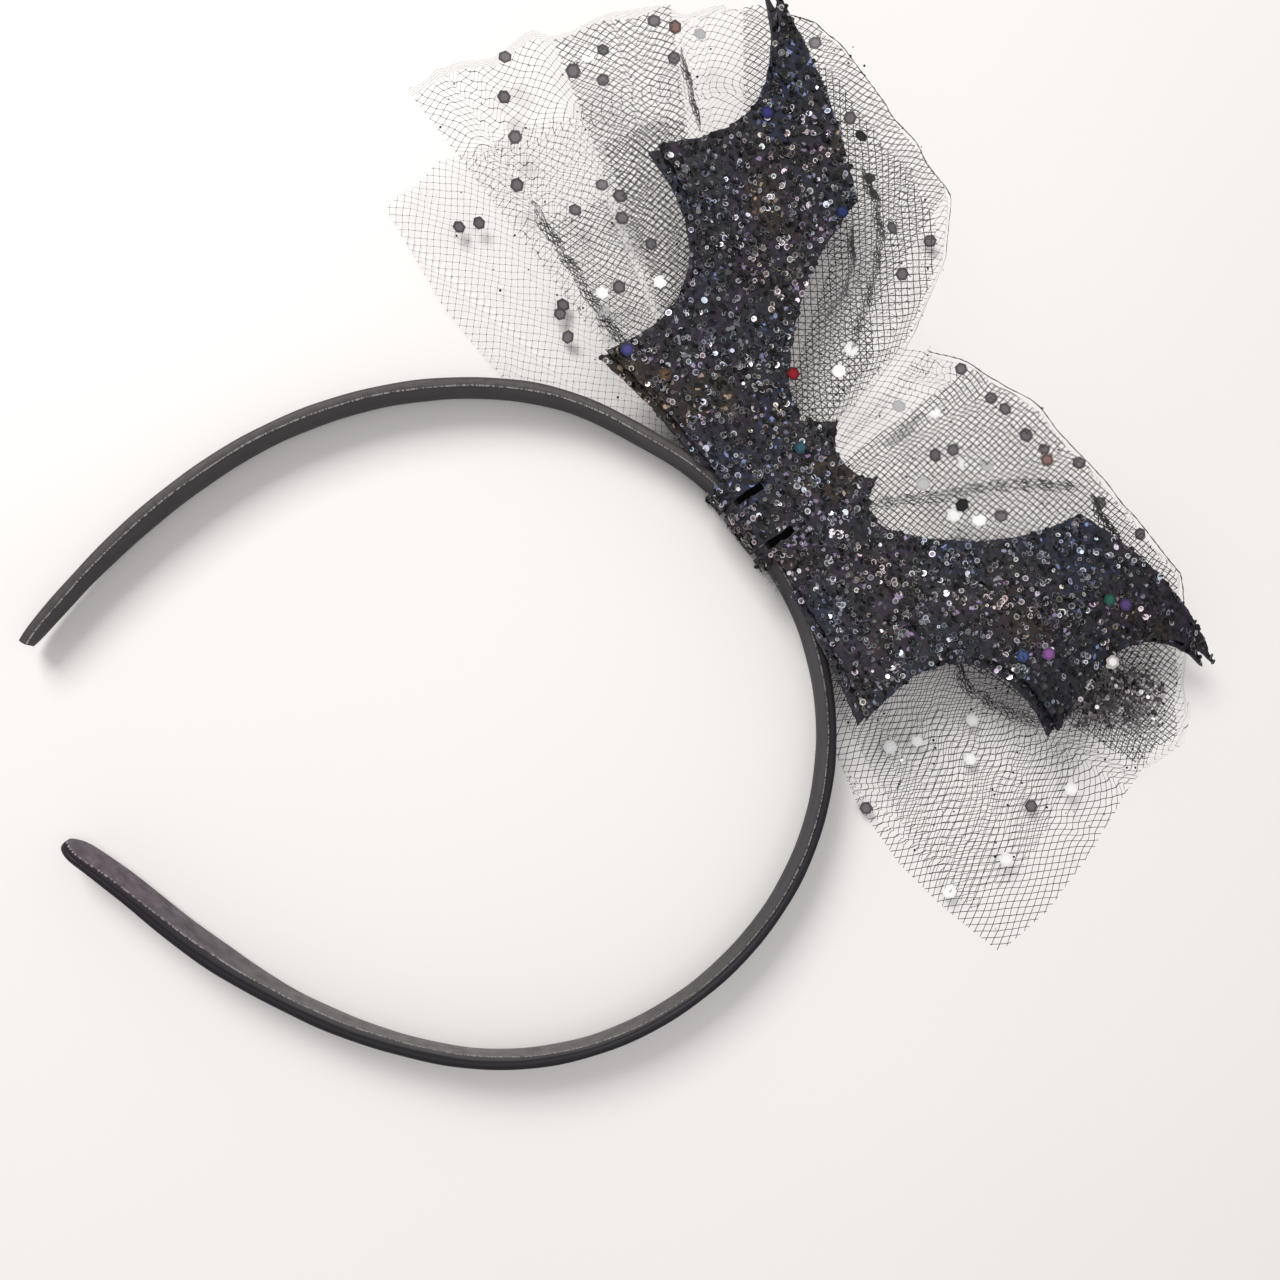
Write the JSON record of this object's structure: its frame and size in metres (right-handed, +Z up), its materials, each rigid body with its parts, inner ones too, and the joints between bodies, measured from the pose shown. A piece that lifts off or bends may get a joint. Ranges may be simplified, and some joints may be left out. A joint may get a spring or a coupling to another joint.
{
  "type": "bat headband",
  "caption": "Black satin hair hoop with a glitter bat folded over its rim and a sequined net bow behind the bat.",
  "frame": {"origin": "middle of the bounding box's base, on the table that the hoop lies on", "axes": "+X from the gap between the hoop's ends to its crown, +Y toward the branch that carries the bat, +Z up from the table, out of the bat's face"},
  "size_m": [0.219, 0.197, 0.0188],
  "materials": {
    "satin": "black satin ribbon, softly shiny",
    "glitter_cloth": "black cloth covered in coarse glitter",
    "felt": "black felt, matt and fuzzy",
    "net": "black open net with loose sequins"
  },
  "bodies": {
    "root": {"band": "satin", "bat_front": "glitter_cloth", "bat_back": "glitter_cloth", "felt_pad": "felt", "tulle_gather": "net", "tulle_left_under": "net", "tulle_left_over": "net", "tulle_right_under": "net", "tulle_right_over": "net"}
  },
  "joints": []
}
